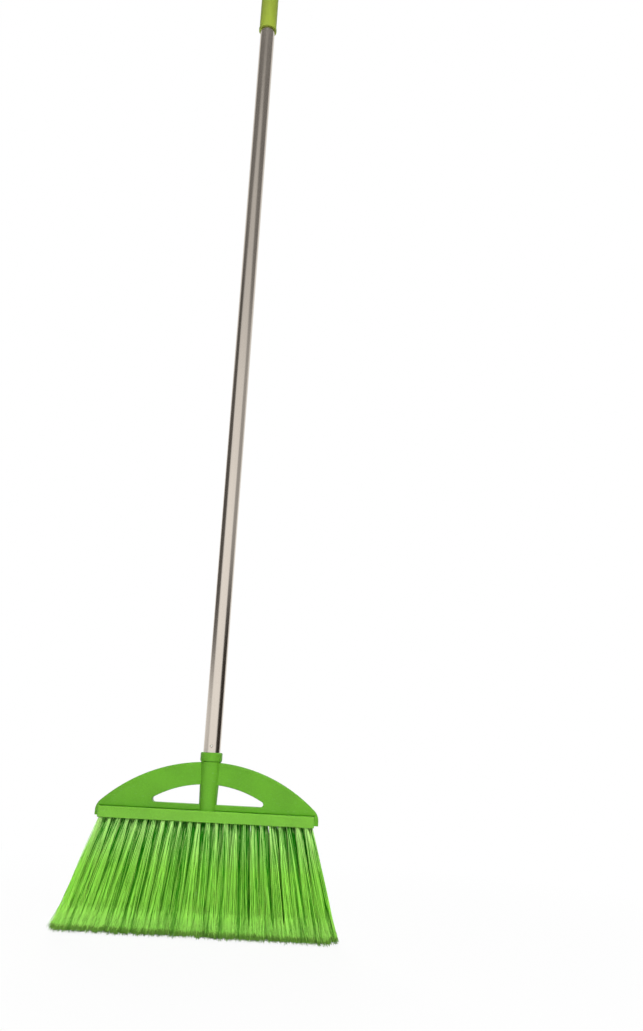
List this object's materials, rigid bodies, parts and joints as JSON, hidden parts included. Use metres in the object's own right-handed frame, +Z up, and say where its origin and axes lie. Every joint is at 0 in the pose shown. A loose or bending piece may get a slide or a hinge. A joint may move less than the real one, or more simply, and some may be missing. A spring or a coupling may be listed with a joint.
{
  "type": "broom",
  "caption": "Upright broom with a steel tube handle screwed into a windowed arch head, a fan of staple-set bristle tufts and a hand grip with a hanging hole.",
  "frame": {"origin": "on the floor under the handle, at the middle of the plane of the bristle tips", "axes": "+Z up along the handle, +X along the head to the right seen from the front, -Y to the front"},
  "size_m": [0.354, 0.0404, 1.4087],
  "materials": {
    "frame_plastic": "moulded green polypropylene, satin",
    "block_plastic": "moulded green polypropylene, satin, a little lighter than the frame",
    "bristle": "green crimp-free polyester filaments with split ends",
    "anchor_wire": "flat galvanised wire",
    "tube_steel": "polished stainless steel, faintly warm",
    "insert_plastic": "natural polypropylene",
    "grip_plastic": "moulded yellow-green plastic, satin"
  },
  "bodies": {
    "head": {"head_frame": "frame_plastic", "tuft_block": "block_plastic", "tuft_anchors": "anchor_wire", "tufts_01": "bristle", "tufts_02": "bristle", "tufts_03": "bristle", "tufts_04": "bristle", "tufts_05": "bristle", "tufts_06": "bristle", "tufts_07": "bristle", "tufts_08": "bristle", "tufts_09": "bristle", "tufts_10": "bristle", "tufts_11": "bristle", "tufts_12": "bristle", "tufts_13": "bristle", "tufts_14": "bristle", "tufts_15": "bristle", "tufts_16": "bristle", "tufts_17": "bristle", "tufts_18": "bristle", "tufts_19": "bristle", "tufts_20": "bristle", "tufts_21": "bristle", "tufts_22": "bristle", "tufts_23": "bristle", "tufts_24": "bristle"},
    "handle": {"handle_tube": "tube_steel", "threaded_insert": "insert_plastic", "hand_grip": "grip_plastic"}
  },
  "joints": [
    {"name": "handle_withdraw", "type": "slide", "parent": "head", "child": "handle", "axis": [0, 0, 1], "range_m": [0, 0.044]}
  ]
}
